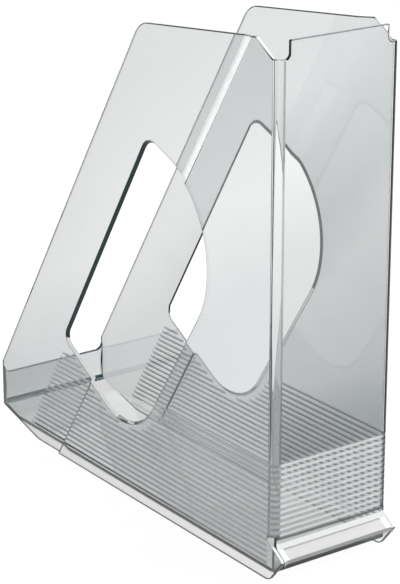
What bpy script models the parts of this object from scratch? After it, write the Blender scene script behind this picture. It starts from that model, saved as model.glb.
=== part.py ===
"""Magazine rack: one tinted clear moulding that holds magazines upright, modelled wall by wall.

Metres, +Z up. X runs across the rack, Y from the closed spine (-Y) to the low open end (+Y).
Outlines are drawn with Y measured from the spine's front face, and one empty carries the whole
rack, so that the world origin is the bottom centre of its box.
"""

import math

import bmesh
import bpy
from mathutils import Vector

# Overall sizes
WIDTH = 0.082
SPINE_HEIGHT = 0.305
BODY_DEPTH = 0.2905
WALL = 0.0022
JOINT_GAP = 0.0003

# Side panels: outline heights and distances from the spine's front face
SPINE_CORNER_RADIUS = 0.005
SHOULDER_HEIGHT = 0.295
PANEL_PEAK = (0.0195, 0.3042)
TOP_CORNER = (0.1295, 0.2922)
SLANT_RUN_PER_RISE = 0.64
TOE_HEIGHT = 0.0107
TOE_LENGTH = 0.042
FOOT_FRONT = 0.0035
FOOT_RADIUS = 0.008
CHEEK_TIP_RADIUS = 0.001
CHEEK_ROOT_RADIUS = 0.004
PEAK_RADIUS = 0.003
TOP_CORNER_RADIUS = 0.016
SLANT_FOOT_RADIUS = 0.004
TOE_RADIUS = 0.002
HEEL_RADIUS = 0.015

# Hole in each side panel: a teardrop whose long straight edge runs parallel to the slanted edge
HOLE_CORNERS = (
    (0.1222, 0.2276, 0.0095),
    (0.2140, 0.0800, 0.007),
    (0.1360, 0.0365, 0.035),
    (0.0335, 0.1924, 0.058),
)

# Base
FLOOR_UNDERSIDE = 0.0059
RAMP_START = 0.2725
LOW_END_HEIGHT = 0.033
LOW_END_RIM = 0.0009

# Grip lip at the foot of the spine
LIP_REACH = 0.009
LIP_TIP_HEIGHT = 0.015
LIP_ROOT_HEIGHT = 0.0244
LIP_SETBACK = 0.0012
LIP_NOSE_RADIUS = 0.0008

# Spine panel
TAB_HALF_WIDTH = 0.033
TAB_FILLET = 0.0025
TAB_RADIUS = 0.001

# Field of horizontal grooves round the foot of the rack
GROOVE_PITCH = 0.00345
GROOVE_WIDTH = 0.0017
GROOVE_DEPTH = 0.0004
GROOVE_COUNT = 18
GROOVE_TOP = 0.0693
GROOVE_HOLE_MARGIN = 0.002
GROOVE_FIELD_START = 0.264

ARC_STEP = math.radians(12)


def clear_scene():
    for thing in list(bpy.data.objects):
        bpy.data.objects.remove(thing, do_unlink=True)


def smoke_plastic(name, tint, roughness):
    """A clear grey plastic for one wall."""
    material = bpy.data.materials.new(name)
    material.use_nodes = True
    shader = material.node_tree.nodes["Principled BSDF"]
    shader.inputs["Base Color"].default_value = (*tint, 1.0)
    shader.inputs["Roughness"].default_value = roughness
    shader.inputs["Metallic"].default_value = 0.0
    shader.inputs["IOR"].default_value = 1.58
    shader.inputs["Transmission Weight"].default_value = 1.0
    return material


def rounded_outline(corners):
    """Outline points through (u, v, radius) corners, each rounded by an arc of its radius."""
    points = []
    for index, (u, v, radius) in enumerate(corners):
        corner = Vector((u, v))
        if radius == 0.0:
            points.append(corner)
            continue
        before = Vector(corners[index - 1][:2]) - corner
        after = Vector(corners[(index + 1) % len(corners)][:2]) - corner
        before.normalize()
        after.normalize()
        half = before.angle(after) / 2
        centre = corner + (before + after).normalized() * radius / math.sin(half)
        tangent = radius / math.tan(half)
        start = corner + before * tangent - centre
        end = corner + after * tangent - centre
        sweep = start.angle_signed(end)
        steps = max(2, math.ceil(abs(sweep) / ARC_STEP))
        for step in range(steps + 1):
            turn = -sweep * step / steps
            cosine, sine = math.cos(turn), math.sin(turn)
            arm = Vector((start.x * cosine - start.y * sine, start.x * sine + start.y * cosine))
            points.append(centre + arm)
    return points


def place(axis, u, v, along):
    """A 3-D point from outline coordinates: (Y, Z) for axis X, (X, Z) for axis Y, (X, Y) for axis Z."""
    return {"X": (along, u, v), "Y": (u, along, v), "Z": (u, v, along)}[axis]


def new_object(name, mesh, parent):
    thing = bpy.data.objects.new(name, mesh)
    bpy.context.scene.collection.objects.link(thing)
    thing.parent = parent
    return thing


def extruded(name, parent, axis, outline, low, high, openings=()):
    """A closed solid: an outline, less any openings, extruded along an axis from low to high."""
    shape = bmesh.new()
    for loop in (outline, *openings):
        rim = [shape.verts.new(place(axis, u, v, low)) for u, v in loop]
        for first, second in zip(rim, rim[1:] + rim[:1]):
            shape.edges.new((first, second))
    bmesh.ops.triangle_fill(shape, use_beauty=True, edges=shape.edges[:])
    sides = bmesh.ops.extrude_face_region(shape, geom=shape.faces[:])
    moved = [item for item in sides["geom"] if isinstance(item, bmesh.types.BMVert)]
    offset = Vector(place(axis, 0.0, 0.0, high - low))
    bmesh.ops.translate(shape, verts=moved, vec=offset)
    bmesh.ops.recalc_face_normals(shape, faces=shape.faces[:])
    mesh = bpy.data.meshes.new(name)
    shape.to_mesh(mesh)
    shape.free()
    mesh.shade_smooth()
    mesh.set_sharp_from_angle(angle=math.radians(30))
    return new_object(name, mesh, parent)


def cut(target, cutter):
    """Takes the cutter away from the target, and keeps the cutter as a hidden guide."""
    cutter.hide_render = True
    cutter.display_type = "WIRE"
    difference = target.modifiers.new("cut_" + cutter.name, "BOOLEAN")
    difference.operation = "DIFFERENCE"
    difference.solver = "EXACT"
    difference.object = cutter


def joined(name, pieces, parent):
    """One mesh object from several separate closed solids."""
    merged = bmesh.new()
    for piece in pieces:
        merged.from_mesh(piece.data)
        bpy.data.objects.remove(piece, do_unlink=True)
    mesh = bpy.data.meshes.new(name)
    merged.to_mesh(mesh)
    merged.free()
    return new_object(name, mesh, parent)


def side_outline():
    """Side panel from the foot's front end, round the lip cheek, over the top and down the slant."""
    slant_foot = TOP_CORNER[1] - (BODY_DEPTH - TOP_CORNER[0]) / SLANT_RUN_PER_RISE
    return rounded_outline(
        (
            (FOOT_FRONT, 0.0, FOOT_RADIUS),
            (-LIP_REACH, LIP_TIP_HEIGHT, CHEEK_TIP_RADIUS),
            (SPINE_CORNER_RADIUS, LIP_ROOT_HEIGHT, CHEEK_ROOT_RADIUS),
            (SPINE_CORNER_RADIUS, SHOULDER_HEIGHT, 0.0),
            (*PANEL_PEAK, PEAK_RADIUS),
            (*TOP_CORNER, TOP_CORNER_RADIUS),
            (BODY_DEPTH, slant_foot, SLANT_FOOT_RADIUS),
            (BODY_DEPTH, TOE_HEIGHT, TOE_RADIUS),
            (BODY_DEPTH - TOE_LENGTH, 0.0, HEEL_RADIUS),
        )
    )


def groove_heights():
    return [GROOVE_TOP - index * GROOVE_PITCH for index in range(GROOVE_COUNT)]


def hole_span(hole, height):
    """The nearest and furthest distance from the spine that the hole reaches near a height."""
    band = GROOVE_WIDTH / 2 + GROOVE_HOLE_MARGIN
    inside = [y for y, z in hole if abs(z - height) < band]
    for (y0, z0), (y1, z1) in zip(hole, hole[1:] + hole[:1]):
        for level in (height - band, height + band):
            if (z0 - level) * (z1 - level) < 0:
                inside.append(y0 + (y1 - y0) * (level - z0) / (z1 - z0))
    return (min(inside), max(inside)) if inside else None


def groove_spans(height, hole):
    """The stretches along Y that a groove at this height covers on a side panel."""
    start = SPINE_CORNER_RADIUS
    end = GROOVE_FIELD_START - height * SLANT_RUN_PER_RISE
    span = hole_span(hole, height)
    if span is None:
        return [(start, end)]
    near = (start, span[0] - GROOVE_HOLE_MARGIN)
    far = (span[1] + GROOVE_HOLE_MARGIN, end)
    return [stretch for stretch in (near, far) if stretch[1] - stretch[0] > GROOVE_PITCH]


def bar(axis, start, end, height, low, high, parent):
    """A groove-wide bar from start to end, reaching from low to high along the axis."""
    half = GROOVE_WIDTH / 2
    outline = [(start, height - half), (end, height - half), (end, height + half), (start, height + half)]
    return extruded("bar", parent, axis, [Vector(point) for point in outline], low, high)


def side_panel(name, parent, side):
    """One side panel; side is -1 for the left (-X) and 1 for the right."""
    hole = rounded_outline(HOLE_CORNERS)
    faces = sorted((side * WIDTH / 2, side * (WIDTH / 2 - WALL)))
    panel = extruded(name, parent, "X", side_outline(), *faces, openings=(hole,))
    depths = sorted((side * (WIDTH / 2 - GROOVE_DEPTH), side * (WIDTH / 2 + WALL)))
    bars = []
    for height in groove_heights():
        runs_on = height > LIP_ROOT_HEIGHT + GROOVE_PITCH
        for start, end in groove_spans(height, hole):
            if runs_on and start == SPINE_CORNER_RADIUS:
                start -= JOINT_GAP
            bars.append(bar("X", start, end, height, *depths, parent))
    cut(panel, joined(name + "_grooves", bars, parent))
    return panel


def spine_panel(parent):
    """Flat spine wall: full width between the side panels at its foot, a raised tab at its top."""
    foot = WIDTH / 2 - WALL - JOINT_GAP
    body = WIDTH / 2 - SPINE_CORNER_RADIUS - JOINT_GAP
    foot_top = LIP_ROOT_HEIGHT + WALL
    right_half = (
        (foot, FLOOR_UNDERSIDE, 0.0),
        (foot, foot_top - JOINT_GAP, 0.0),
        (body, foot_top - JOINT_GAP, 0.0),
        (body, SHOULDER_HEIGHT, 0.0),
        (TAB_HALF_WIDTH, SHOULDER_HEIGHT, TAB_FILLET),
        (TAB_HALF_WIDTH, SPINE_HEIGHT, TAB_RADIUS),
    )
    left_half = tuple((-x, z, radius) for x, z, radius in reversed(right_half))
    panel = extruded("spine_panel", parent, "Y", rounded_outline(right_half + left_half), 0.0, WALL)
    bars = [
        bar("Y", -body - JOINT_GAP, body + JOINT_GAP, height, -WALL, GROOVE_DEPTH, parent)
        for height in groove_heights()
        if height > foot_top
    ]
    cut(panel, joined("spine_panel_grooves", bars, parent))
    return panel


def quarter_ring(side, outer, inner):
    """Outline in (X, Y) of a quarter of a ring that turns a side panel into the spine."""
    centre_x = WIDTH / 2 - SPINE_CORNER_RADIUS
    centre_y = SPINE_CORNER_RADIUS
    steps = round(math.radians(90) / ARC_STEP)
    turns = [math.radians(90) * step / steps for step in range(steps + 1)]
    rim = [(centre_x + outer * math.sin(t), centre_y - outer * math.cos(t)) for t in turns]
    rim += [(centre_x + inner * math.sin(t), centre_y - inner * math.cos(t)) for t in reversed(turns)]
    return [Vector((side * x, y - JOINT_GAP)) for x, y in rim]


def spine_corner(name, parent, side):
    """Rounded upright corner between the spine and a side panel, from the lip to the shoulder."""
    bottom = LIP_ROOT_HEIGHT + WALL
    outer = SPINE_CORNER_RADIUS - JOINT_GAP
    corner = extruded(name, parent, "Z", quarter_ring(side, outer, outer - WALL), bottom, SHOULDER_HEIGHT)
    bars = [
        extruded(
            "bar",
            parent,
            "Z",
            quarter_ring(side, outer + WALL, outer - GROOVE_DEPTH),
            height - GROOVE_WIDTH / 2,
            height + GROOVE_WIDTH / 2,
        )
        for height in groove_heights()
        if height > bottom + GROOVE_WIDTH
    ]
    cut(corner, joined(name + "_grooves", bars, parent))
    return corner


def between_panels():
    """The X range of the walls that fit between the side panels."""
    reach = WIDTH / 2 - WALL - JOINT_GAP
    return -reach, reach


def toe_line(distance):
    """Height of the side panels' sloping toe edge at a distance from the spine."""
    return TOE_HEIGHT * (distance - BODY_DEPTH + TOE_LENGTH) / TOE_LENGTH


def floor_panel(parent):
    outline = (
        (WALL + JOINT_GAP, FLOOR_UNDERSIDE, 0.0),
        (RAMP_START, FLOOR_UNDERSIDE, 0.0),
        (RAMP_START, FLOOR_UNDERSIDE + WALL, 0.0),
        (WALL + JOINT_GAP, FLOOR_UNDERSIDE + WALL, 0.0),
    )
    return extruded("floor_panel", parent, "X", rounded_outline(outline), *between_panels())


def toe_ramp(parent):
    """Sloping end of the floor, level with the side panels' toe edge underneath."""
    start = RAMP_START + JOINT_GAP
    end = BODY_DEPTH - WALL - JOINT_GAP
    outline = (
        (start, toe_line(start), 0.0),
        (end, toe_line(end), 0.0),
        (end, toe_line(end) + WALL, 0.0),
        (start, toe_line(start) + WALL, 0.0),
    )
    return extruded("toe_ramp", parent, "X", rounded_outline(outline), *between_panels())


def low_end_wall(parent):
    """Low wall across the open end, with a rounded upper edge."""
    inner = BODY_DEPTH - WALL
    outline = (
        (inner, toe_line(inner), 0.0),
        (BODY_DEPTH, toe_line(BODY_DEPTH), 0.0),
        (BODY_DEPTH, LOW_END_HEIGHT, LOW_END_RIM),
        (inner, LOW_END_HEIGHT, LOW_END_RIM),
    )
    return extruded("low_end_wall", parent, "X", rounded_outline(outline), *between_panels())


def grip_lip(parent):
    """Sloping visor plate across the foot of the spine, to pull the rack out by."""
    slope = (LIP_ROOT_HEIGHT - LIP_TIP_HEIGHT) / (SPINE_CORNER_RADIUS + LIP_REACH)
    root = -JOINT_GAP
    tip = -LIP_REACH + LIP_SETBACK
    drop = WALL * math.hypot(1.0, slope)
    outline = (
        (root, LIP_TIP_HEIGHT + slope * (root + LIP_REACH), 0.0),
        (tip, LIP_TIP_HEIGHT + slope * (tip + LIP_REACH), LIP_NOSE_RADIUS),
        (tip, LIP_TIP_HEIGHT + slope * (tip + LIP_REACH) - drop, LIP_NOSE_RADIUS),
        (root, LIP_TIP_HEIGHT + slope * (root + LIP_REACH) - drop, 0.0),
    )
    return extruded("grip_lip", parent, "X", rounded_outline(outline), *between_panels())


def main():
    clear_scene()
    front_end = min(y for y, _ in side_outline())
    rack = bpy.data.objects.new("rack", None)
    bpy.context.scene.collection.objects.link(rack)
    rack.location.y = -(front_end + BODY_DEPTH) / 2
    panel_tint, spine_tint, base_tint = (0.80, 0.82, 0.82), (0.79, 0.81, 0.81), (0.74, 0.77, 0.78)
    walls = (
        (side_panel("side_panel_left", rack, -1), panel_tint),
        (side_panel("side_panel_right", rack, 1), panel_tint),
        (spine_panel(rack), spine_tint),
        (spine_corner("spine_corner_left", rack, -1), spine_tint),
        (spine_corner("spine_corner_right", rack, 1), spine_tint),
        (floor_panel(rack), base_tint),
        (toe_ramp(rack), base_tint),
        (low_end_wall(rack), base_tint),
        (grip_lip(rack), panel_tint),
    )
    for wall, tint in walls:
        wall.data.materials.append(smoke_plastic(wall.name + "_plastic", tint, roughness=0.05))


main()
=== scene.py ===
"""Looks of the magazine rack: a smoke-tinted clear moulding on a pale floor, lit by soft studio light.

Outlines are drawn in (distance, height): distance runs from the spine's outer face towards the low
open end, which is the world's +Y, and height is the world's Z.
"""

import math

import bmesh
import bpy
from mathutils import Matrix, Vector


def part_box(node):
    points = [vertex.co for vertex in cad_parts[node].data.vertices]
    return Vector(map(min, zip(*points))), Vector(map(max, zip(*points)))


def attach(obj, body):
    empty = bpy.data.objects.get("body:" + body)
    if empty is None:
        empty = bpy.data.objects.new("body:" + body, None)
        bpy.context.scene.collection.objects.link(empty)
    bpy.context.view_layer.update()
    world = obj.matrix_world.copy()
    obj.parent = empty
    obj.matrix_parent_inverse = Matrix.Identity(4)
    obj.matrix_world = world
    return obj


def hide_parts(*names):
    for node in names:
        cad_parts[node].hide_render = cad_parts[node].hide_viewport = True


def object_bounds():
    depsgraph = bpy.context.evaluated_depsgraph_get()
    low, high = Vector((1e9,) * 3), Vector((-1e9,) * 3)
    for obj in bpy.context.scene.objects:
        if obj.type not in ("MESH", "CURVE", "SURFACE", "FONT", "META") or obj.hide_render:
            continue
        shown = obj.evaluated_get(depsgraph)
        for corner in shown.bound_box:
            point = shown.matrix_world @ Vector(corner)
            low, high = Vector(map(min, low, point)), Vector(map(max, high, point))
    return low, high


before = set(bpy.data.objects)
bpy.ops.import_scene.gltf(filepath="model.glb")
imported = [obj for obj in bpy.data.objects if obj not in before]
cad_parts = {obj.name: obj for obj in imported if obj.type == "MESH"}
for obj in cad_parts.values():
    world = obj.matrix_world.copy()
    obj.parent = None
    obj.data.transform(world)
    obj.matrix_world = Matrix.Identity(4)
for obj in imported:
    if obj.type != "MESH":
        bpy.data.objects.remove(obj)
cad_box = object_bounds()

# Sizes read from the frame
CAD_LOW, CAD_HIGH = Vector(cad_box[0]), Vector(cad_box[1])
SPINE_LOW, SPINE_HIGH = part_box("spine_panel")
FLOOR_LOW, FLOOR_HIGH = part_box("floor_panel")
CORNER_LOW, CORNER_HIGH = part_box("spine_corner_right")
HALF_WIDTH = CAD_HIGH.x
SPINE_FACE = SPINE_LOW.y
WALL = FLOOR_HIGH.z - FLOOR_LOW.z
BODY_DEPTH = CAD_HIGH.y - SPINE_FACE
SPINE_HEIGHT = SPINE_HIGH.z
SHOULDER_HEIGHT = CORNER_HIGH.z
CORNER_FOOT = CORNER_LOW.z
FLOOR_UNDERSIDE = FLOOR_LOW.z
LOW_END_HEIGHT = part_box("low_end_wall")[1].z
LIP_REACH = SPINE_FACE - CAD_LOW.y

# Side panels
SPINE_CORNER_RADIUS = 0.005
PANEL_PEAK = (0.0195, 0.3042)
PEAK_RADIUS = 0.003
TOP_CORNER = (0.1295, 0.2922)
TOP_CORNER_RADIUS = 0.016
SLANT_RUN_PER_RISE = 0.64
SLANT_FOOT_RADIUS = 0.004
TOE_HEIGHT = 0.0107
TOE_LENGTH = 0.042
TOE_RADIUS = 0.002
HEEL_RADIUS = 0.015
FOOT_FRONT = 0.0035
FOOT_RADIUS = 0.008
CHEEK_TIP_RADIUS = 0.001
CHEEK_ROOT_RADIUS = 0.004

# Teardrop hole: (distance, height, radius) of each corner; it is wider at the panel's outer face
HOLE_CORNERS = (
    (0.1222, 0.2276, 0.0095),
    (0.2140, 0.0800, 0.007),
    (0.1360, 0.0365, 0.035),
    (0.0335, 0.1924, 0.058),
)
HOLE_DRAFT = 0.0013
HOLE_FOOT = 0.1

# Crease: a shallow jog in both side panels, parallel to the slanted edge and narrower towards its foot
CREASE_FOOT = 0.2223
CREASE_RUN_PER_RISE = 0.6436
CREASE_WIDTH = 0.0076
CREASE_LOW_WIDTH = 0.0016
CREASE_HOLE_LOW, CREASE_HOLE_HIGH = 0.075, 0.165
CREASE_DEPTH = 0.0019
CREASE_EASE = 0.12
CREASE_KNOTS = (0.0, 0.04, 0.08, CREASE_EASE, 0.5, 1 - CREASE_EASE, 0.92, 0.96, 1.0)

# Base
FIT_GAP = 0.00015
RAMP_START = 0.2725
RAMP_LEAD = 0.001
RAMP_FILLET = 0.0035
LOW_WALL_SWEEP = 0.0045
BASE_HALF_WIDTH = HALF_WIDTH - WALL - FIT_GAP
OPEN_END_HALF_WIDTH = BASE_HALF_WIDTH - CREASE_DEPTH

# Grip lip
LIP_TIP_HEIGHT = 0.015
LIP_ROOT_HEIGHT = 0.0244
LIP_SETBACK = 0.0013
LIP_DISH = 0.0005
LIP_CHEEK_BLEND = 0.004
LIP_ROOT_BLEND = 0.0016
LIP_ROOT_RISE = 0.0030
LIP_HIGHLIGHT_ROOT = 0.75 * LIP_ROOT_BLEND
LIP_NOSE = 0.0003
LIP_NOSE_BLUNTNESS = 0.35

# Spine and its corners
TAB_HALF_WIDTH = 0.033
TAB_FILLET = 0.0029
TAB_RADIUS = 0.001
CORNER_PAINTED_SHADE_STEPS = 3

# Grooves round the foot of the rack
GROOVE_PITCH = 0.00345
GROOVE_WIDTH = 0.0017
GROOVE_DEPTH = 0.00035
GROOVE_BRIM_SHARE = 1.5
GROOVE_FADE = 0.007
GROOVE_OVERRUN = 2 * GROOVE_WIDTH
GROOVE_COUNT = 18
GROOVE_TOP = 0.0693
GROOVE_HOLE_MARGIN = 0.002
GROOVE_FIELD_START = 0.264

# Mesh detail. The shading breaks at edges that turn by more than the sharp turn.
RIM = 0.0006
SPINE_RIM = 0.0005
RIM_TURN = math.radians(50)
RIM_STEPS = 3
ARC_STEP = math.radians(5)
SHARP_TURN = math.radians(18)
PANEL_SHARP_TURN = math.radians(4)
FILLET_STEPS = 8
CORNER_STEPS = 18
LIP_TOP_STEPS = 14
LIP_NOSE_STEPS = 6
LIP_CHEEK_STEPS = 10
QUARTER_TURN = math.radians(90)
JOINT_CLEARANCE = 0.00003
TOUCHING = 1e-6
IN_JOINT_PLANE = 1e-5
PARALLEL = 1e-3
CREASE_CUT_TOLERANCE = 1e-7
ALONG_X, ALONG_Y = Vector((1.0, 0.0, 0.0)), Vector((0.0, 1.0, 0.0))

# Material slots of every piece. The groove and edge slots carry painted shade, the spine's groove slot
# carries a painted highlight, and the pale edge slot carries a painted highlight.
CLEAR, JOINT, GROOVE, EDGE, EDGE_PAINTED_HIGHLIGHT = range(5)
SLOT_COUNT = 5

# Tints with painted light and shade: (share of the spine's height, colour) stops. The lean adds to the
# share towards the open end. The plastic's own smoky tint is even. The lighter and darker bands by height,
# and the different stops of the near and far side panels, are painted light and shade: they stand in for
# the studio light and for the floor's shade seen through the walls.
SIDE_LEAN = 0.45
FAR_SIDE_LEAN = 0.9
WALL_TINT_PAINTED_LIGHT_AND_SHADE = (
    (0.0, (0.69, 0.71, 0.715)),
    (0.2, (0.67, 0.695, 0.70)),
    (0.36, (0.67, 0.69, 0.695)),
    (0.52, (0.775, 0.788, 0.79)),
    (0.85, (0.69, 0.705, 0.71)),
)
FAR_WALL_TINT_PAINTED_LIGHT_AND_SHADE = (
    (0.0, (0.64, 0.657, 0.66)),
    (0.22, (0.74, 0.753, 0.756)),
    (0.36, (0.60, 0.617, 0.62)),
    (0.52, (0.62, 0.636, 0.64)),
    (0.66, (0.71, 0.722, 0.726)),
    (0.85, (0.71, 0.722, 0.726)),
)
# The spine's stops paint a near-black line of shade at the lip's root, a pale band of painted light behind
# the lip below it, a darker band of painted shade near the top groove, and painted light towards the top.
SPINE_TINT_PAINTED_LIGHT_AND_SHADE = (
    (0.0, (0.40, 0.43, 0.44)),
    (0.032, (0.40, 0.43, 0.44)),
    (0.042, (0.92, 0.93, 0.93)),
    (0.078, (0.92, 0.93, 0.93)),
    (0.080, (0.02, 0.03, 0.032)),
    (0.084, (0.02, 0.03, 0.032)),
    (0.086, (0.64, 0.665, 0.675)),
    (0.222, (0.66, 0.685, 0.69)),
    (0.236, (0.42, 0.442, 0.448)),
    (0.3, (0.49, 0.512, 0.518)),
    (0.37, (0.64, 0.657, 0.66)),
    (0.62, (0.69, 0.70, 0.70)),
    (0.92, (0.93, 0.94, 0.94)),
)
CORNER_TINT_PAINTED_LIGHT_AND_SHADE = (
    (0.0, (0.60, 0.62, 0.625)),
    (0.36, (0.62, 0.64, 0.645)),
    (0.92, (0.93, 0.935, 0.935)),
)
BASE_TINT_PAINTED_LIGHT_AND_SHADE = (
    (0.0, (0.69, 0.697, 0.69)),
    (0.036, (0.71, 0.717, 0.71)),
    (0.05, (0.64, 0.662, 0.665)),
)
LIP_TINTS = ((0.0, (0.47, 0.475, 0.48)), (0.1, (0.49, 0.495, 0.50)))
# Painted shade: the side panels' grooves, the corners' grooves and band beside the spine, and some rims of
# the side panels take this dark tint.
GROOVE_PAINTED_SHADE_TINTS = ((0.0, (0.28, 0.30, 0.308)), (1.0, (0.30, 0.32, 0.328)))
# Painted highlight: the spine's grooves are tinted almost white.
GROOVE_PAINTED_HIGHLIGHT_TINTS = ((0.0, (0.95, 0.96, 0.96)), (1.0, (0.97, 0.98, 0.98)))
# Painted shade: cut edges are tinted near black.
EDGE_PAINTED_SHADE_TINTS = ((0.0, (0.004, 0.008, 0.009)), (1.0, (0.008, 0.014, 0.015)))
# Painted highlight: the pale edges.
PAINTED_HIGHLIGHT_TINTS = ((0.58, 0.59, 0.59), (0.66, 0.67, 0.67))
# Painted light: the side panels' skirt below the floor is painted paler than the walls above.
SKIRT_PAINTED_LIGHT = (0.78, 0.785, 0.78)
SKIRT_BLEND = 0.0004
STUDIO_FLOOR_TINTS = ((0.09, 0.09, 0.09), (0.11, 0.11, 0.11))
WHITE = (1.0, 1.0, 1.0, 1.0)

# Plastic. It darkens where it is seen edge-on, from a start that differs from piece to piece. The
# darkening is partly the longer path through the smoky wall and partly painted shade on rims and
# silhouettes.
PLASTIC_IOR = 1.52
EDGE_ON_START = 0.42
LATE_EDGE_ON_START = 0.8
EDGE_ON_SPAN = 0.24
EDGE_ON_SHARE = 0.9
EDGE_ON_TINT = (0.008, 0.016, 0.018)
EDGE_GLOSS = (0.68, 0.96, 1.0)

# Roughness, as (low, high)
PLASTIC_ROUGHNESS = (0.004, 0.03)
LIP_ROUGHNESS = (0.03, 0.08)
GROOVE_ROUGHNESS = (0.08, 0.16)
PALE_EDGE_ROUGHNESS = (0.12, 0.22)

# Noises, as (scale, detail); most of a noise lies between its low and its high
NOISE_LOW, NOISE_HIGH = 0.3, 0.7
STREAKS = (14.0, 2.0)
SCUFFS = (900.0, 4.0)
SAW_MARKS = (700.0, 3.0)
GRAIN = (60.0, 3.0)
WAVES = (22.0, 1.0)
WAVE_STRENGTH = 0.25
WAVE_HEIGHT = 0.0002
TINT_WAVER = 0.03
SPINE_TINT_WAVER = 0.002

# Studio: each softbox has a name, place, aim, width, height and radiance
STUDIO_FLOOR_RADIUS = 9.0
STUDIO_FLOOR_STEPS = 96
STUDIO_FLOOR_GLOW = 0.96
# Painted light: the pale edges glow, though they are no lamps.
PAINTED_HIGHLIGHT_GLOW = 0.3
RACK_MIDDLE = (0.0, 0.0, 0.15)
SKY_STOPS = ((0.0, 1.02), (0.2, 1.02), (0.26, 0.8), (0.4, 0.35), (1.0, 0.3))
SOFTBOXES = (
    ("overhead_softbox", (1.0, -0.12, 1.6), RACK_MIDDLE, 1.1, 1.1, 4.5),
    ("front_softbox", (1.16, -0.95, 1.43), (0.0, -0.15, 0.02), 1.0, 1.3, 4.0),
    ("back_softbox", (1.1, 1.55, 0.80), RACK_MIDDLE, 1.6, 0.2, 1.5),
    ("low_strip", (-0.32, 0.95, 0.26), (0.0, 0.0, 0.26), 0.2, 0.5, 3.0),
)
CAMERA_AZIMUTH = math.radians(-35.7)
CAMERA_ELEVATION = math.radians(19.28)
CAMERA_DISTANCE = 1.309
CAMERA_AIM = (CAD_LOW + CAD_HIGH) / 2 + Vector((0.0022, -0.0124, -0.0272))
CAMERA_LENS = 137.0


# ---------------------------------------------------------------- outlines

def rounded_outline(corners):
    """Outline points through (u, v, radius) corners, each rounded by an arc of its radius."""
    points = []
    for index, (u, v, radius) in enumerate(corners):
        corner = Vector((u, v))
        if radius == 0.0:
            points.append(corner)
            continue
        before = (Vector(corners[index - 1][:2]) - corner).normalized()
        after = (Vector(corners[(index + 1) % len(corners)][:2]) - corner).normalized()
        half = before.angle(after) / 2
        centre = corner + (before + after).normalized() * radius / math.sin(half)
        tangent = radius / math.tan(half)
        start = corner + before * tangent - centre
        end = corner + after * tangent - centre
        sweep = start.angle_signed(end)
        steps = max(3, math.ceil(abs(sweep) / ARC_STEP))
        for step in range(steps + 1):
            turn = -sweep * step / steps
            cosine, sine = math.cos(turn), math.sin(turn)
            arm = Vector((start.x * cosine - start.y * sine, start.x * sine + start.y * cosine))
            points.append(centre + arm)
    return points


def side_outline():
    """Side panel from the foot's front end, round the lip cheek, over the top and down the slant."""
    slant_foot = TOP_CORNER[1] - (BODY_DEPTH - TOP_CORNER[0]) / SLANT_RUN_PER_RISE
    return rounded_outline(
        (
            (FOOT_FRONT, 0.0, FOOT_RADIUS),
            (-LIP_REACH, LIP_TIP_HEIGHT, CHEEK_TIP_RADIUS),
            (SPINE_CORNER_RADIUS, LIP_ROOT_HEIGHT, CHEEK_ROOT_RADIUS),
            (SPINE_CORNER_RADIUS, SHOULDER_HEIGHT, 0.0),
            (*PANEL_PEAK, PEAK_RADIUS),
            (*TOP_CORNER, TOP_CORNER_RADIUS),
            (BODY_DEPTH, slant_foot, SLANT_FOOT_RADIUS),
            (BODY_DEPTH, TOE_HEIGHT, TOE_RADIUS),
            (BODY_DEPTH - TOE_LENGTH, 0.0, HEEL_RADIUS),
        )
    )


def toe_line(distance):
    """Height of the side panels' sloping toe edge."""
    return TOE_HEIGHT * (distance - BODY_DEPTH + TOE_LENGTH) / TOE_LENGTH


def place(axis, u, v, along):
    """World point of an outline's point on a plate that is square to the axis."""
    if axis == "X":
        return Vector((along, SPINE_FACE + u, v))
    if axis == "Y":
        return Vector((u, SPINE_FACE + along, v))
    return Vector((u, SPINE_FACE + v, along))


# ---------------------------------------------------------------- mesh tools

def new_piece(name, shape, sharp_turn):
    """A shaded object from a bmesh, whose flat faces stay flat next to their rounded rims."""
    bmesh.ops.recalc_face_normals(shape, faces=shape.faces[:])
    mesh = bpy.data.meshes.new(name)
    shape.to_mesh(mesh)
    shape.free()
    mesh.shade_smooth()
    mesh.set_sharp_from_angle(angle=sharp_turn)
    piece = bpy.data.objects.new(name, mesh)
    bpy.context.scene.collection.objects.link(piece)
    weighted = piece.modifiers.new("flat_faces_lead", "WEIGHTED_NORMAL")
    weighted.keep_sharp = True
    return piece


def plate_shape(axis, outline, low, high, openings=()):
    """A closed flat plate with square rims, as a bmesh."""
    shape = bmesh.new()
    for loop in (outline, *openings):
        rim = [shape.verts.new(place(axis, u, v, low)) for u, v in loop]
        for first, second in zip(rim, rim[1:] + rim[:1]):
            shape.edges.new((first, second))
    bmesh.ops.triangle_fill(shape, use_beauty=True, edges=shape.edges[:])
    grown = bmesh.ops.extrude_face_region(shape, geom=shape.faces[:])
    moved = [item for item in grown["geom"] if isinstance(item, bmesh.types.BMVert)]
    offset = place(axis, 0.0, 0.0, high) - place(axis, 0.0, 0.0, low)
    bmesh.ops.translate(shape, verts=moved, vec=offset)
    bmesh.ops.recalc_face_normals(shape, faces=shape.faces[:])
    return shape


def bridge(shape, rings):
    """Joins closed rings of points, one to the next, with a face between each pair of points."""
    count = len(rings[0])
    for first, second in zip(rings, rings[1:]):
        for index in range(count):
            other = (index + 1) % count
            shape.faces.new((first[index], first[other], second[other], second[index]))


def draft_opening(shape, outline, outer):
    """Widens an opening on the plate's outer face and narrows it on the inner one, by half the draft."""
    for vertex in shape.verts:
        for index, point in enumerate(outline):
            if (vertex.co - place("X", *point, vertex.co.x)).length < TOUCHING:
                run = outline[(index + 1) % len(outline)] - outline[index - 1]
                away = Vector((0.0, -run.y, run.x)).normalized()
                side = 1 if abs(vertex.co.x - outer) < TOUCHING else -1
                vertex.co += away * side * HOLE_DRAFT / 2
                break


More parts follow.
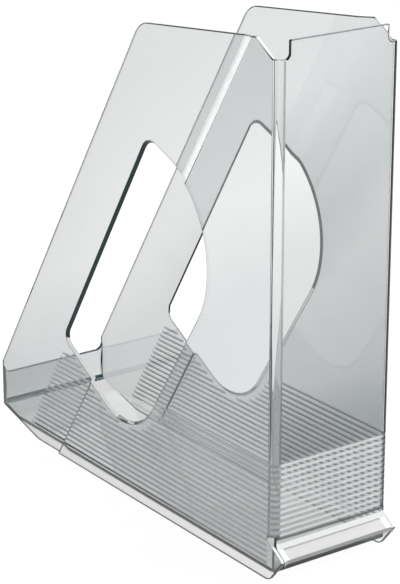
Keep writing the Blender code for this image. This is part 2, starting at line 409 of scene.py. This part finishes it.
def round_rims(shape, stays_square, radius=RIM):
    """Rounds every edge that turns sharply, except those that stays_square() picks."""
    rims = []
    for edge in shape.edges:
        if len(edge.link_faces) != 2 or edge.calc_face_angle(0.0) < RIM_TURN:
            continue
        if not stays_square(edge):
            rims.append(edge)
    bmesh.ops.bevel(
        shape, geom=rims, offset=radius, segments=RIM_STEPS, profile=0.5,
        affect="EDGES", clamp_overlap=False,
    )


def on_plane(edge, normal, point):
    """True if both ends of the edge lie on a plane."""
    return all(abs((vertex.co - point).dot(normal)) < TOUCHING for vertex in edge.verts)


def subtract(shape, cutter):
    """The shape less the cutter, both closed, by an exact boolean that keeps every face's slot."""
    objects = []
    for name, part in (("cut_target", shape), ("cut_tool", cutter)):
        mesh = bpy.data.meshes.new(name)
        part.to_mesh(mesh)
        part.free()
        for _ in range(SLOT_COUNT):
            mesh.materials.append(None)
        thing = bpy.data.objects.new(name, mesh)
        bpy.context.scene.collection.objects.link(thing)
        objects.append(thing)
    target, tool = objects
    difference = target.modifiers.new("difference", "BOOLEAN")
    difference.operation = "DIFFERENCE"
    difference.solver = "EXACT"
    difference.object = tool
    bpy.context.view_layer.update()
    result = bmesh.new()
    result.from_object(target, bpy.context.evaluated_depsgraph_get())
    for thing in objects:
        mesh = thing.data
        bpy.data.objects.remove(thing, do_unlink=True)
        bpy.data.meshes.remove(mesh)
    return result


def mark_joint(shape, normal, point):
    """Gives the joint slot to the faces on a plane, where this wall runs on into its neighbour."""
    for face in shape.faces:
        if abs(abs(face.normal.dot(normal)) - 1) < PARALLEL:
            if abs((face.calc_center_median() - point).dot(normal)) < IN_JOINT_PLANE:
                face.material_index = JOINT


def mark_edges(shape, kind):
    """Gives each face the slot that kind() picks from its normal and the height of its middle."""
    shape.normal_update()
    for face in shape.faces:
        face.material_index = kind(face.normal, face.calc_center_median().z)


def side_edge(normal, height):
    """Slot of a side panel's face: a cut edge is painted dark as painted shade, and painted pale as a
    painted highlight where it faces up and to the spine.
    """
    flat = abs(normal.x) > 0.98
    slanted = normal.z > 0.3 and normal.y > 0.3
    underside = normal.z < -0.9 and normal.y < 0.15
    if flat or slanted or underside:
        return CLEAR
    if normal.z > 0.18 and normal.y < -0.12:
        if abs(normal.x) < 0.85:
            return EDGE_PAINTED_HIGHLIGHT
        # Above the hole's foot these rims take the grooves' painted shade.
        return EDGE if height < HOLE_FOOT else GROOVE
    if normal.z > 0.4 and height < HOLE_FOOT:
        return CLEAR
    return EDGE


def spine_edge(normal, height):
    """Slot of a spine face: its upright edges and the rims of its flat top edge are painted dark, as
    painted shade.
    """
    return EDGE if abs(normal.x) > 0.6 or 0.2 < normal.z < 0.75 else CLEAR


def ramp_edge(normal, height):
    """Slot of a ramp face: the fillet at its foot is painted dark, as painted shade."""
    return EDGE if normal.y < -0.35 and normal.z > 0.05 else CLEAR


def low_wall_edge(normal, height):
    """Slot of a low wall's face: its top edge is painted dark, as painted shade."""
    return EDGE if normal.z > 0.2 else CLEAR


def mirrored(shape):
    """The same shape on the other side of the rack."""
    other = shape.copy()
    bmesh.ops.transform(other, matrix=Matrix.Diagonal((-1, 1, 1, 1)), verts=other.verts[:])
    bmesh.ops.reverse_faces(other, faces=other.faces[:])
    return other


# ---------------------------------------------------------------- grooves

def groove_heights(lowest):
    """Heights of the grooves above a height, from the top one down."""
    heights = [GROOVE_TOP - index * GROOVE_PITCH for index in range(GROOVE_COUNT)]
    return [height for height in heights if height > lowest]


def hole_span(hole, height):
    """The nearest and furthest distance from the spine that the hole reaches near a height."""
    band = GROOVE_WIDTH / 2 + GROOVE_HOLE_MARGIN
    inside = [y for y, z in hole if abs(z - height) < band]
    for (y0, z0), (y1, z1) in zip(hole, hole[1:] + hole[:1]):
        for level in (height - band, height + band):
            if (z0 - level) * (z1 - level) < 0:
                inside.append(y0 + (y1 - y0) * (level - z0) / (z1 - z0))
    return (min(inside), max(inside)) if inside else None


def groove_spans(height, hole, start):
    """The stretches that a groove at this height covers on a side panel."""
    end = GROOVE_FIELD_START - height * SLANT_RUN_PER_RISE
    span = hole_span(hole, height)
    if span is None:
        return [(start, end)]
    near = (start, span[0] - GROOVE_HOLE_MARGIN)
    far = (span[1] + GROOVE_HOLE_MARGIN, end)
    return [stretch for stretch in (near, far) if stretch[1] - stretch[0] > GROOVE_PITCH]


def add_groove(shape, axis, start, end, height, surface):
    """Adds a V-shaped bar with sloping ends: widest just outside the surface, its keel below it."""
    half = GROOVE_WIDTH / 2 * GROOVE_BRIM_SHARE
    brim = surface - GROOVE_DEPTH / 2
    keel = surface + GROOVE_DEPTH

    def section(run, keel_run):
        points = ((run, height - half, brim), (keel_run, height, keel), (run, height + half, brim))
        return [shape.verts.new(place(axis, *point)) for point in points]

    first = section(start, start + half)
    last = section(end, end - GROOVE_FADE)
    shape.faces.new(first)
    shape.faces.new(last[::-1])
    for index in range(3):
        other = (index + 1) % 3
        shape.faces.new((first[index], last[index], last[other], first[other]))
    for face in shape.faces:
        face.material_index = GROOVE


def cut_grooves(shape, bars):
    """The shape less the groove bars."""
    bmesh.ops.recalc_face_normals(bars, faces=bars.faces[:])
    return subtract(shape, bars)


# ---------------------------------------------------------------- walls

def jog(travel):
    """Share of the crease's depth reached at a travel of 0 to 1 across it, eased at both ends."""
    area = 1 - CREASE_EASE
    if travel < CREASE_EASE:
        return travel * travel / (2 * CREASE_EASE) / area
    if travel > 1 - CREASE_EASE:
        return 1 - (1 - travel) ** 2 / (2 * CREASE_EASE) / area
    return (travel - CREASE_EASE / 2) / area


def add_crease(shape):
    """Jogs the left side panel inward, on the open-end side of the crease line."""
    across = Vector((0.0, 1.0, CREASE_RUN_PER_RISE)).normalized()
    middle = place("X", CREASE_FOOT, 0.0, 0.0)
    for width in (CREASE_WIDTH, CREASE_LOW_WIDTH):
        for knot in CREASE_KNOTS:
            point = middle + across * width * (knot - 0.5)
            geometry = shape.verts[:] + shape.edges[:] + shape.faces[:]
            bmesh.ops.bisect_plane(
                shape, geom=geometry, dist=CREASE_CUT_TOLERANCE, plane_co=point, plane_no=across,
            )
    for vertex in shape.verts:
        rise = (vertex.co.z - CREASE_HOLE_LOW) / (CREASE_HOLE_HIGH - CREASE_HOLE_LOW)
        width = CREASE_LOW_WIDTH + (CREASE_WIDTH - CREASE_LOW_WIDTH) * min(max(rise, 0.0), 1.0)
        travel = (vertex.co - middle).dot(across) / width + 0.5
        vertex.co.x += CREASE_DEPTH * jog(min(max(travel, 0.0), 1.0))


def side_panel_shape():
    """The left side panel: hole, rounded rims, grooves and crease."""
    hole = rounded_outline(HOLE_CORNERS)
    outer, inner = -HALF_WIDTH, -HALF_WIDTH + WALL
    shape = plate_shape("X", side_outline(), outer, inner, openings=(hole,))
    draft_opening(shape, hole, outer)
    joint_point = place("X", SPINE_CORNER_RADIUS, 0.0, 0.0)
    round_rims(shape, lambda edge: on_plane(edge, ALONG_Y, joint_point))
    mark_edges(shape, side_edge)
    bars = bmesh.new()
    lowest_round_corner = CORNER_FOOT + GROOVE_WIDTH / 2
    for height in groove_heights(lowest_round_corner):
        for start, end in groove_spans(height, hole, SPINE_CORNER_RADIUS):
            reach = GROOVE_OVERRUN if start == SPINE_CORNER_RADIUS else 0.0
            add_groove(bars, "X", start - reach, end, height, outer)
    for height in groove_heights(0.0):
        if height <= lowest_round_corner:
            end = groove_spans(height, hole, 0.0)[0][1]
            add_groove(bars, "X", SPINE_CORNER_RADIUS, end, height, outer)
    shape = cut_grooves(shape, bars)
    add_crease(shape)
    shape.normal_update()
    mark_joint(shape, ALONG_Y, joint_point)
    return shape


def spine_shape():
    """Spine wall with its tab, its wide foot and its grooves."""
    body = HALF_WIDTH - SPINE_CORNER_RADIUS - JOINT_CLEARANCE
    right_half = (
        (BASE_HALF_WIDTH, FLOOR_UNDERSIDE, 0.0),
        (BASE_HALF_WIDTH, CORNER_FOOT - FIT_GAP, 0.0),
        (body, CORNER_FOOT - FIT_GAP, 0.0),
        (body, SHOULDER_HEIGHT, 0.0),
        (TAB_HALF_WIDTH, SHOULDER_HEIGHT, TAB_FILLET),
        (TAB_HALF_WIDTH, SPINE_HEIGHT, TAB_RADIUS),
    )
    left_half = tuple((-x, z, radius) for x, z, radius in reversed(right_half))
    shape = plate_shape("Y", rounded_outline(right_half + left_half), 0.0, WALL)
    sides = [Vector((side * body, 0.0, 0.0)) for side in (-1, 1)]
    round_rims(shape, lambda edge: any(on_plane(edge, ALONG_X, point) for point in sides), SPINE_RIM)
    mark_edges(shape, spine_edge)
    bars = bmesh.new()
    for height in groove_heights(CORNER_FOOT + GROOVE_WIDTH / 2):
        add_groove(bars, "Y", -HALF_WIDTH, HALF_WIDTH, height, 0.0)
    shape = cut_grooves(shape, bars)
    for point in sides:
        mark_joint(shape, ALONG_X, point)
    return shape


def corner_shape(painted_shade_steps):
    """Right spine corner, its grooves and rims included; its first steps beside the spine are painted
    grey, a band of painted shade.
    """
    outer, inner = SPINE_CORNER_RADIUS, SPINE_CORNER_RADIUS - WALL
    half = GROOVE_WIDTH / 2
    profile = [Vector((inner, CORNER_FOOT)), Vector((outer, CORNER_FOOT))]
    keels = set()
    for height in reversed(groove_heights(CORNER_FOOT + half)):
        keels.add(len(profile) + 1)
        profile += [Vector((outer, height + step)) for step in (-half, 0.0, half)]
    plain_face = len(profile) - 1
    turns = [QUARTER_TURN * step / RIM_STEPS for step in range(RIM_STEPS + 1)]
    top = SHOULDER_HEIGHT - RIM
    profile += [Vector((outer - RIM + RIM * math.cos(t), top + RIM * math.sin(t))) for t in turns]
    profile += [Vector((inner + RIM - RIM * math.sin(t), top + RIM * math.cos(t))) for t in turns]
    shape = bmesh.new()
    axis_x = HALF_WIDTH - SPINE_CORNER_RADIUS
    start_turn = JOINT_CLEARANCE / SPINE_CORNER_RADIUS
    rings = []
    for step in range(CORNER_STEPS + 1):
        turn = start_turn + (QUARTER_TURN - 2 * start_turn) * step / CORNER_STEPS
        ring = []
        for index, (radius, height) in enumerate(profile):
            if index in keels:
                radius -= GROOVE_DEPTH
            u = axis_x + radius * math.sin(turn)
            v = SPINE_CORNER_RADIUS - radius * math.cos(turn)
            ring.append(shape.verts.new(place("Z", u, v, height)))
        rings.append(ring)
    bridge(shape, rings)
    for number, face in enumerate(shape.faces):
        step, index = divmod(number, len(profile))
        in_groove = index in keels or index + 1 in keels
        if in_groove or (index == plain_face and step < painted_shade_steps):
            face.material_index = GROOVE
    for ring in (rings[0], rings[-1]):
        shape.faces.new(ring).material_index = JOINT
    return shape


def floor_shape():
    """Floor plate between the side panels, narrower past the crease."""
    wide, narrow = BASE_HALF_WIDTH, OPEN_END_HALF_WIDTH
    step = CREASE_FOOT - CREASE_RUN_PER_RISE * FLOOR_UNDERSIDE - CREASE_WIDTH
    right = ((wide, WALL + FIT_GAP), (wide, step), (narrow, step + CREASE_WIDTH), (narrow, RAMP_START))
    left = tuple((-x, y) for x, y in reversed(right))
    outline = [Vector(point) for point in right + left]
    shape = plate_shape("Z", outline, FLOOR_UNDERSIDE, FLOOR_UNDERSIDE + WALL)
    mark_joint(shape, ALONG_Y, place("Z", 0.0, RAMP_START, 0.0))
    for side in (-wide, wide):
        mark_joint(shape, ALONG_X, Vector((side, 0.0, 0.0)))
    return shape


def ramp_shape():
    """Sloping end of the floor, with a fillet where it meets the low end wall."""
    start = RAMP_START + JOINT_CLEARANCE
    end = BODY_DEPTH - WALL - FIT_GAP
    outline = [
        Vector((start, FLOOR_UNDERSIDE)),
        Vector((start + RAMP_LEAD, toe_line(start + RAMP_LEAD))),
        Vector((end, toe_line(end))),
    ]
    slope = math.atan2(TOE_HEIGHT, TOE_LENGTH)
    rise = RAMP_FILLET * math.tan((QUARTER_TURN - slope) / 2)
    root = toe_line(end) + WALL / math.cos(slope)
    centre = Vector((end - RAMP_FILLET, root + rise))
    for step in range(FILLET_STEPS + 1):
        turn = (QUARTER_TURN - slope) * step / FILLET_STEPS
        outline.append(centre + Vector((math.cos(turn), -math.sin(turn))) * RAMP_FILLET)
    outline.append(Vector((start, FLOOR_UNDERSIDE + WALL)))
    shape = plate_shape("X", outline, -OPEN_END_HALF_WIDTH, OPEN_END_HALF_WIDTH)
    mark_edges(shape, ramp_edge)
    mark_joint(shape, ALONG_Y, place("X", start, 0.0, 0.0))
    return shape


def low_wall_shape():
    """Low wall across the open end; its top edge sweeps up where it meets the side panels."""
    foot = toe_line(BODY_DEPTH - WALL)
    start = OPEN_END_HALF_WIDTH - LOW_WALL_SWEEP
    centre_height = LOW_END_HEIGHT + LOW_WALL_SWEEP
    turns = [QUARTER_TURN * step / FILLET_STEPS for step in range(FILLET_STEPS + 1)]
    sweep = [
        Vector((start + LOW_WALL_SWEEP * math.sin(t), centre_height - LOW_WALL_SWEEP * math.cos(t)))
        for t in turns
    ]
    outline = [Vector((OPEN_END_HALF_WIDTH, foot)), *sweep[:0:-1]]
    outline += [Vector((start, LOW_END_HEIGHT)), Vector((-start, LOW_END_HEIGHT))]
    outline += [Vector((-x, z)) for x, z in sweep[1:]]
    outline.append(Vector((-OPEN_END_HALF_WIDTH, foot)))
    shape = plate_shape("Y", outline, BODY_DEPTH - WALL, BODY_DEPTH)
    round_rims(shape, lambda edge: False)
    mark_edges(shape, low_wall_edge)
    return shape


def lip_section(x):
    """Section of the grip lip at an x, as (distance, height) points round its outline."""
    inside = HALF_WIDTH - WALL - abs(x)
    near_cheek = max(0.0, 1 - inside / LIP_CHEEK_BLEND)
    dish = LIP_DISH * (1 - near_cheek**2)
    setback = LIP_SETBACK * (1 - near_cheek**3)
    slope = (LIP_ROOT_HEIGHT - LIP_TIP_HEIGHT) / (SPINE_CORNER_RADIUS + LIP_REACH)
    tip = -LIP_REACH + setback + LIP_NOSE
    root = -FIT_GAP
    drop = WALL * math.hypot(1.0, slope)

    def top(distance):
        blend = max(0.0, 1 + distance / LIP_ROOT_BLEND)
        return LIP_TIP_HEIGHT + slope * (distance + LIP_REACH) - dish + LIP_ROOT_RISE * blend**2

    upper = []
    for step in range(LIP_TOP_STEPS + 1):
        distance = root + (tip - root) * (1 - math.cos(QUARTER_TURN * step / LIP_TOP_STEPS))
        upper.append(Vector((distance, top(distance))))
    middle = Vector((tip, top(tip) - drop / 2))
    front = []
    for step in range(1, LIP_NOSE_STEPS):
        turn = math.pi * step / LIP_NOSE_STEPS
        bulge = -LIP_NOSE * math.sin(turn) ** LIP_NOSE_BLUNTNESS
        front.append(middle + Vector((bulge, drop / 2 * math.cos(turn))))
    root_underside = LIP_TIP_HEIGHT + slope * LIP_REACH - dish - drop
    lower = [Vector((tip, top(tip) - drop)), Vector((root, root_underside))]
    return upper + front + lower


def lip_shape():
    """Grip lip: a dished visor whose ends sweep up to the cheeks and whose front is set back."""
    blend = [LIP_CHEEK_BLEND * step / LIP_CHEEK_STEPS for step in range(LIP_CHEEK_STEPS + 1)]
    left_stations = [-BASE_HALF_WIDTH + distance for distance in blend]
    right_stations = [BASE_HALF_WIDTH - distance for distance in blend[::-1]]
    shape = bmesh.new()
    rings = []
    for x in (*left_stations, 0.0, *right_stations):
        rings.append([shape.verts.new(place("X", u, v, x)) for u, v in lip_section(x)])
    bridge(shape, rings)
    for ring in (rings[0], rings[-1]):
        shape.faces.new(ring)
    bmesh.ops.recalc_face_normals(shape, faces=shape.faces[:])
    # Painted highlight: the upward faces at the lip's root and by its cheeks take the glowing pale edge
    # slot.
    for face in shape.faces:
        middle = face.calc_center_median()
        at_root = middle.y > SPINE_FACE - LIP_HIGHLIGHT_ROOT
        at_cheek = abs(middle.x) > BASE_HALF_WIDTH - LIP_CHEEK_BLEND
        if face.normal.z > 0.2 and (at_root or at_cheek):
            face.material_index = EDGE_PAINTED_HIGHLIGHT
    return shape


# ---------------------------------------------------------------- materials

def new_material(name):
    """A new material, its node tree and its shader."""
    material = bpy.data.materials.new(name)
    material.use_nodes = True
    tree = material.node_tree
    return material, tree, tree.nodes["Principled BSDF"]


def object_place(tree):
    """The place on the object, in its own coordinates."""
    return tree.nodes.new("ShaderNodeTexCoord").outputs["Object"]


def noise(tree, where, kind):
    """A noise of a (scale, detail) kind, mostly between NOISE_LOW and NOISE_HIGH."""
    node = tree.nodes.new("ShaderNodeTexNoise")
    node.inputs["Scale"].default_value, node.inputs["Detail"].default_value = kind
    tree.links.new(where, node.inputs["Vector"])
    return node.outputs["Fac"]


def mapped(tree, source, low, high):
    """A noise stretched to run from low to high."""
    node = tree.nodes.new("ShaderNodeMapRange")
    node.inputs["From Min"].default_value = NOISE_LOW
    node.inputs["From Max"].default_value = NOISE_HIGH
    node.inputs["To Min"].default_value = low
    node.inputs["To Max"].default_value = high
    tree.links.new(source, node.inputs["Value"])
    return node.outputs["Result"]


def scaled_sum(tree, source, factor, addend):
    """The source times a factor, plus the addend."""
    node = tree.nodes.new("ShaderNodeMath")
    node.operation = "MULTIPLY_ADD"
    node.inputs[1].default_value = factor
    tree.links.new(source, node.inputs[0])
    tree.links.new(addend, node.inputs[2])
    return node.outputs["Value"]


def ramp(tree, stops, share):
    """The colour at a share between (share, colour) stops."""
    node = tree.nodes.new("ShaderNodeValToRGB")
    elements = node.color_ramp.elements
    while len(elements) < len(stops):
        elements.new(0.5)
    for element, (position, colour) in zip(elements, stops):
        element.position = position
        element.color = (*colour, 1.0)
    tree.links.new(share, node.inputs["Fac"])
    return node.outputs["Color"]


def mixed(tree, factor, first, second):
    """A mix of two colours, each of them a tuple or the output of a node."""
    node = tree.nodes.new("ShaderNodeMix")
    node.data_type = "RGBA"
    tree.links.new(factor, node.inputs["Factor"])
    for side, colour in (("A", first), ("B", second)):
        if isinstance(colour, tuple):
            node.inputs[side].default_value = (*colour, 1.0)
        else:
            tree.links.new(colour, node.inputs[side])
    return node.outputs["Result"]


def edge_on(tree, start):
    """How far the surface is seen edge-on: 0 up to the start, and EDGE_ON_SHARE past the span."""
    grazing = tree.nodes.new("ShaderNodeLayerWeight")
    grazing.inputs["Blend"].default_value = 0.5
    node = tree.nodes.new("ShaderNodeMapRange")
    node.interpolation_type = "SMOOTHSTEP"
    node.inputs["From Min"].default_value = start
    node.inputs["From Max"].default_value = start + EDGE_ON_SPAN
    node.inputs["To Max"].default_value = EDGE_ON_SHARE
    tree.links.new(grazing.outputs["Facing"], node.inputs["Value"])
    return node.outputs["Result"]


def above_skirt(tree, height):
    """0 on the side panels' skirt below the floor, and 1 above it."""
    node = tree.nodes.new("ShaderNodeMapRange")
    node.inputs["From Min"].default_value = FLOOR_UNDERSIDE - SKIRT_BLEND
    node.inputs["From Max"].default_value = FLOOR_UNDERSIDE + SKIRT_BLEND
    tree.links.new(height, node.inputs["Value"])
    return node.outputs["Result"]


def smoke_clear(name, tint_and_painted_shade, roughness=PLASTIC_ROUGHNESS, lean=0.0, skirt=False, deep_from=EDGE_ON_START,
                ior=PLASTIC_IOR, gloss=(1.0, 1.0, 1.0), waver=TINT_WAVER, clearness=1.0):
    """Smoke-tinted clear polystyrene, with faint streaks, fine scuffs and a moulded surface's waviness.
    The colour stops it is given paint light and shade into its tint.
    """
    material, tree, shader = new_material(name)
    shader.inputs["IOR"].default_value = ior
    shader.inputs["Specular Tint"].default_value = (*gloss, 1.0)
    shader.inputs["Transmission Weight"].default_value = clearness
    where = object_place(tree)
    split = tree.nodes.new("ShaderNodeSeparateXYZ")
    tree.links.new(where, split.inputs["Vector"])
    streaks = mapped(tree, noise(tree, where, STREAKS), -waver, waver)
    leaning = scaled_sum(tree, split.outputs["Y"], lean / SPINE_HEIGHT, streaks)
    share = scaled_sum(tree, split.outputs["Z"], 1 / SPINE_HEIGHT, leaning)
    # Painted light and shade: the tint follows the height stops.
    colour = ramp(tree, tint_and_painted_shade, share)
    # Painted light on the skirt below the floor.
    if skirt:
        colour = mixed(tree, above_skirt(tree, split.outputs["Z"]), SKIRT_PAINTED_LIGHT, colour)
    # Partly the longer path through the wall, partly painted shade where the surface is seen edge-on.
    deep_and_shaded = mixed(tree, edge_on(tree, deep_from), colour, EDGE_ON_TINT)
    tree.links.new(deep_and_shaded, shader.inputs["Base Color"])
    scuffs = mapped(tree, noise(tree, where, SCUFFS), *roughness)
    tree.links.new(scuffs, shader.inputs["Roughness"])
    bump = tree.nodes.new("ShaderNodeBump")
    bump.inputs["Strength"].default_value = WAVE_STRENGTH
    bump.inputs["Distance"].default_value = WAVE_HEIGHT
    tree.links.new(noise(tree, where, WAVES), bump.inputs["Height"])
    tree.links.new(bump.outputs["Normal"], shader.inputs["Normal"])
    return material


def painted_highlight_edge():
    """Cut edges that face the light, painted almost white: a painted highlight that glows a little though
    it is no lamp, with fine saw marks in its roughness.
    """
    material, tree, shader = new_material("painted_highlight_edge")
    shader.inputs["Transmission Weight"].default_value = 0.2
    shader.inputs["IOR"].default_value = PLASTIC_IOR
    shader.inputs["Emission Color"].default_value = WHITE
    shader.inputs["Emission Strength"].default_value = PAINTED_HIGHLIGHT_GLOW
    marks = noise(tree, object_place(tree), SAW_MARKS)
    tree.links.new(mapped(tree, marks, *PALE_EDGE_ROUGHNESS), shader.inputs["Roughness"])
    tree.links.new(mixed(tree, marks, *PAINTED_HIGHLIGHT_TINTS), shader.inputs["Base Color"])
    return material


def joint_clear():
    """Faces where one wall of the moulding runs on into the next: nothing is seen there."""
    material, tree, shader = new_material("joint_clear")
    tree.nodes.remove(shader)
    through = tree.nodes.new("ShaderNodeBsdfTransparent")
    tree.links.new(through.outputs["BSDF"], tree.nodes["Material Output"].inputs["Surface"])
    return material


def floor_material():
    """Pale matt floor with a barely visible grain, mostly lit from within."""
    material, tree, shader = new_material("pale_floor")
    shader.inputs["Roughness"].default_value = 0.9
    shader.inputs["Specular IOR Level"].default_value = 0.1
    shader.inputs["Emission Color"].default_value = WHITE
    shader.inputs["Emission Strength"].default_value = STUDIO_FLOOR_GLOW
    grain = noise(tree, object_place(tree), GRAIN)
    tree.links.new(mixed(tree, grain, *STUDIO_FLOOR_TINTS), shader.inputs["Base Color"])
    return material


# ---------------------------------------------------------------- the studio

def make_floor():
    """A wide round floor under the rack."""
    shape = bmesh.new()
    bmesh.ops.create_circle(
        shape, cap_ends=True, segments=STUDIO_FLOOR_STEPS, radius=STUDIO_FLOOR_RADIUS,
    )
    mesh = bpy.data.meshes.new("studio_floor")
    shape.to_mesh(mesh)
    shape.free()
    floor = bpy.data.objects.new("studio_floor", mesh)
    bpy.context.scene.collection.objects.link(floor)
    mesh.materials.append(floor_material())


def make_world():
    """White all round the horizon and below it, dimmer overhead."""
    world = bpy.data.worlds.new("studio")
    bpy.context.scene.world = world
    world.use_nodes = True
    tree = world.node_tree
    direction = tree.nodes.new("ShaderNodeTexCoord").outputs["Generated"]
    split = tree.nodes.new("ShaderNodeSeparateXYZ")
    tree.links.new(direction, split.inputs["Vector"])
    stops = [(height, (level, level, level)) for height, level in SKY_STOPS]
    sky = ramp(tree, stops, split.outputs["Z"])
    tree.links.new(sky, tree.nodes["Background"].inputs["Color"])


def softbox(name, location, aim, width, height, radiance):
    """A soft rectangular light that the camera doesn't see."""
    light = bpy.data.lights.new(name, "AREA")
    light.shape = "RECTANGLE"
    light.size = width
    light.size_y = height
    light.energy = radiance * math.pi * width * height
    lamp = bpy.data.objects.new(name, light)
    lamp.location = location
    lamp.rotation_euler = (Vector(aim) - Vector(location)).to_track_quat("-Z", "Y").to_euler()
    lamp.visible_camera = False
    bpy.context.scene.collection.objects.link(lamp)


def make_camera():
    """Long lens from the left of the spine, looking slightly down."""
    back = Vector(
        (
            math.sin(CAMERA_AZIMUTH) * math.cos(CAMERA_ELEVATION),
            -math.cos(CAMERA_AZIMUTH) * math.cos(CAMERA_ELEVATION),
            math.sin(CAMERA_ELEVATION),
        )
    )
    data = bpy.data.cameras.new("camera")
    data.sensor_width = 36.0
    data.lens = CAMERA_LENS
    data.clip_end = 50.0
    camera = bpy.data.objects.new("camera", data)
    camera.location = CAMERA_AIM + back * CAMERA_DISTANCE
    camera.rotation_euler = (-back).to_track_quat("-Z", "Y").to_euler()
    bpy.context.scene.collection.objects.link(camera)
    bpy.context.scene.camera = camera


def make_view():
    """Plain colours, and enough light bounces for walls seen through walls."""
    scene = bpy.context.scene
    scene.view_settings.view_transform = "Standard"
    scene.cycles.max_bounces = 32
    scene.cycles.transmission_bounces = 28
    scene.cycles.glossy_bounces = 4
    scene.cycles.transparent_max_bounces = 32


# ---------------------------------------------------------------- the rack

def finish_piece(name, shape, node, sharp_turn, grooves, looks):
    """Makes a piece with its five materials, ties it to the frame's body and hides the frame's node that
    it stands in for.
    """
    piece = new_piece(name, shape, sharp_turn)
    plastic = smoke_clear(name + "_plastic", **looks)
    for material in (plastic, joint_face, grooves, painted_shade_edge, glowing_highlight_edge):
        piece.data.materials.append(material)
    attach(piece, "root")
    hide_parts(node)


joint_face = joint_clear()
# Painted highlight in the spine's grooves.
painted_highlight_groove = smoke_clear(
    "groove_painted_highlight", GROOVE_PAINTED_HIGHLIGHT_TINTS, roughness=GROOVE_ROUGHNESS,
    deep_from=LATE_EDGE_ON_START, clearness=0.65,
)
# Painted shade in the grooves and the groove slot.
painted_shade_groove = smoke_clear(
    "groove_painted_shade", GROOVE_PAINTED_SHADE_TINTS, roughness=GROOVE_ROUGHNESS, deep_from=LATE_EDGE_ON_START,
)
# Painted shade on the cut edges.
painted_shade_edge = smoke_clear("edge_painted_shade", EDGE_PAINTED_SHADE_TINTS, gloss=EDGE_GLOSS)
glowing_highlight_edge = painted_highlight_edge()

base_looks = {"tint_and_painted_shade": BASE_TINT_PAINTED_LIGHT_AND_SHADE, "deep_from": LATE_EDGE_ON_START}
left_panel = side_panel_shape()
left_corner = mirrored(corner_shape(CORNER_PAINTED_SHADE_STEPS))
right_corner = corner_shape(0)
WALL_PIECES = (
    ("clear_side_right", mirrored(left_panel), "side_panel_right", PANEL_SHARP_TURN, painted_shade_groove,
     {"tint_and_painted_shade": FAR_WALL_TINT_PAINTED_LIGHT_AND_SHADE, "lean": FAR_SIDE_LEAN, "skirt": True}),
    ("clear_side_left", left_panel, "side_panel_left", PANEL_SHARP_TURN, painted_shade_groove,
     {"tint_and_painted_shade": WALL_TINT_PAINTED_LIGHT_AND_SHADE, "lean": SIDE_LEAN, "skirt": True}),
    ("clear_spine", spine_shape(), "spine_panel", SHARP_TURN, painted_highlight_groove,
     {"tint_and_painted_shade": SPINE_TINT_PAINTED_LIGHT_AND_SHADE, "waver": SPINE_TINT_WAVER}),
    ("clear_corner_left", left_corner, "spine_corner_left", SHARP_TURN, painted_shade_groove,
     {"tint_and_painted_shade": CORNER_TINT_PAINTED_LIGHT_AND_SHADE, "deep_from": 0.2, "ior": 1.4}),
    ("clear_corner_right", right_corner, "spine_corner_right", SHARP_TURN, painted_shade_groove,
     {"tint_and_painted_shade": CORNER_TINT_PAINTED_LIGHT_AND_SHADE, "deep_from": 0.3, "ior": 1.3}),
)
BASE_PIECES = (
    ("clear_floor", floor_shape(), "floor_panel", base_looks),
    ("clear_ramp", ramp_shape(), "toe_ramp", base_looks),
    ("clear_low_wall", low_wall_shape(), "low_end_wall", base_looks),
    ("clear_lip", lip_shape(), "grip_lip",
     {**base_looks, "tint_and_painted_shade": LIP_TINTS, "roughness": LIP_ROUGHNESS, "clearness": 0.5}),
)
for name, shape, node, sharp_turn, grooves, looks in WALL_PIECES:
    finish_piece(name, shape, node, sharp_turn, grooves, looks)
for name, shape, node, looks in BASE_PIECES:
    finish_piece(name, shape, node, SHARP_TURN, painted_shade_groove, looks)

make_floor()
make_world()
for row in SOFTBOXES:
    softbox(*row)
make_camera()
make_view()

bpy.context.view_layer.update()
